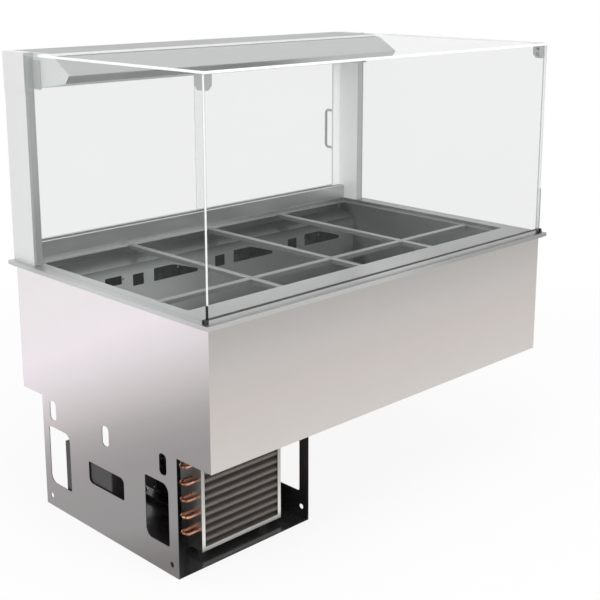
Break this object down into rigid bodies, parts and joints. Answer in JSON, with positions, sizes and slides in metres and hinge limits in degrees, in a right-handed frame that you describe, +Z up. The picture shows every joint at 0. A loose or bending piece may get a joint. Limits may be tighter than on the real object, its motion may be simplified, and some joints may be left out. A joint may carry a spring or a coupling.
{
  "type": "refrigerated salad bar",
  "caption": "Drop-in refrigerated salad bar: stainless well with pan bars, glass display case with lamp canopy and sliding rear doors, machine bay hung below",
  "frame": {"origin": "centre of the counter cut-out, in the plane of the flange's underside", "axes": "+X to the right as the customer sees it, along the length; -Y towards the customer, +Y towards the operator; +Z up"},
  "size_m": [1.464, 0.952, 1.373],
  "materials": {
    "stainless": "brushed satin",
    "galvanised": "zinc plated, satin",
    "black_paint": "semi gloss",
    "foam": "rigid foam, matt",
    "fin_aluminium": "pressed fins, satin",
    "copper": "drawn copper, satin",
    "black_plastic": "moulded, satin",
    "valve_brass": "machined",
    "feet_rubber": "matt",
    "pane": "clear, polished edges",
    "lamp_white": "opal",
    "door_metal": "anodised satin"
  },
  "bodies": {
    "cabinet": {"bay_bolts": "galvanised", "bay_floor_pan": "black_paint", "bay_plate_left": "stainless", "bay_plate_right": "stainless", "cable_gland": "black_plastic", "canopy_brackets": "stainless", "canopy_end_caps": "stainless", "canopy_housing": "stainless", "casing_bottom": "stainless", "casing_front": "stainless", "casing_left": "stainless", "casing_rear": "stainless", "casing_right": "stainless", "compressor": "black_paint", "compressor_feet": "feet_rubber", "condenser_fins": "fin_aluminium", "condenser_frame": "galvanised", "condenser_motor": "black_paint", "condenser_shroud": "galvanised", "condenser_tube": "copper", "control_box": "black_paint", "corner_clamps": "galvanised", "deck_rim": "stainless", "drain_fitting": "valve_brass", "drain_valve": "valve_brass", "duct_cover": "stainless", "evaporator_coil": "fin_aluminium", "evaporator_fan_frames": "black_plastic", "filter_drier": "copper", "lamp_diffuser": "lamp_white", "lamp_sockets": "black_plastic", "lamp_tube": "lamp_white", "pivot_blocks": "galvanised", "post_caps": "stainless", "post_left": "stainless", "post_right": "stainless", "rear_sill": "stainless", "refrigerant_pipes": "copper", "roof_glass": "pane", "side_glass_left": "pane", "side_glass_right": "pane", "switch_bezel": "black_plastic", "tank_insulation": "foam", "well_tank": "stainless"},
    "front_glass": {"front_glass": "pane", "front_glass_rail": "galvanised"},
    "rear_door_left": {"door_left_stile": "door_metal", "door_left_glass": "pane"},
    "rear_door_right": {"door_right_stile": "door_metal", "door_right_glass": "pane", "door_handle": "door_metal"},
    "pan_bars": {"long_bar": "stainless", "cross_bars": "stainless"},
    "evaporator_rotor_1": {"evaporator_fan_1": "black_plastic"},
    "evaporator_rotor_2": {"evaporator_fan_2": "black_plastic"},
    "evaporator_rotor_3": {"evaporator_fan_3": "black_plastic"},
    "condenser_rotor": {"condenser_fan": "black_plastic"},
    "drain_handle": {"drain_lever": "black_plastic"},
    "thermostat_knob": {"control_knob": "black_plastic"},
    "power_rocker": {"switch_rocker": "black_plastic"}
  },
  "joints": [
    {"name": "front_glass_tilt", "type": "hinge", "parent": "cabinet", "child": "front_glass", "pos_m": [0, -0.441, 0.018], "axis": [1, 0, 0], "range_deg": [0, 40]},
    {"name": "rear_door_left_slide", "type": "slide", "parent": "cabinet", "child": "rear_door_left", "axis": [1, 0, 0], "range_m": [0, 0.64]},
    {"name": "rear_door_right_slide", "type": "slide", "parent": "cabinet", "child": "rear_door_right", "axis": [-1, 0, 0], "range_m": [0, 0.64]},
    {"name": "bar_grid_lift", "type": "slide", "parent": "cabinet", "child": "pan_bars", "axis": [0, 0, 1], "range_m": [0, 0.25]},
    {"name": "evaporator_fan_1_spin", "type": "hinge", "parent": "cabinet", "child": "evaporator_rotor_1", "pos_m": [-0.19497, 0.385, -0.1065], "axis": [0, 1, 0], "continuous": true},
    {"name": "evaporator_fan_2_spin", "type": "hinge", "parent": "cabinet", "child": "evaporator_rotor_2", "pos_m": [0.14497, 0.385, -0.1065], "axis": [0, 1, 0], "continuous": true},
    {"name": "evaporator_fan_3_spin", "type": "hinge", "parent": "cabinet", "child": "evaporator_rotor_3", "pos_m": [0.48492, 0.385, -0.1065], "axis": [0, 1, 0], "continuous": true},
    {"name": "condenser_fan_spin", "type": "hinge", "parent": "cabinet", "child": "condenser_rotor", "pos_m": [-0.4445, -0.15, -0.565], "axis": [0, 1, 0], "continuous": true},
    {"name": "drain_lever_turn", "type": "hinge", "parent": "cabinet", "child": "drain_handle", "pos_m": [0.13, 0.076, -0.43], "axis": [0, 1, 0], "range_deg": [0, 90]},
    {"name": "control_knob_turn", "type": "hinge", "parent": "cabinet", "child": "thermostat_knob", "pos_m": [-0.6787, 0.24, -0.558], "axis": [0, 1, 0], "range_deg": [0, 300]},
    {"name": "switch_rocker_tilt", "type": "hinge", "parent": "cabinet", "child": "power_rocker", "pos_m": [-0.6787, 0.231, -0.624], "axis": [1, 0, 0], "range_deg": [0, 16]}
  ]
}
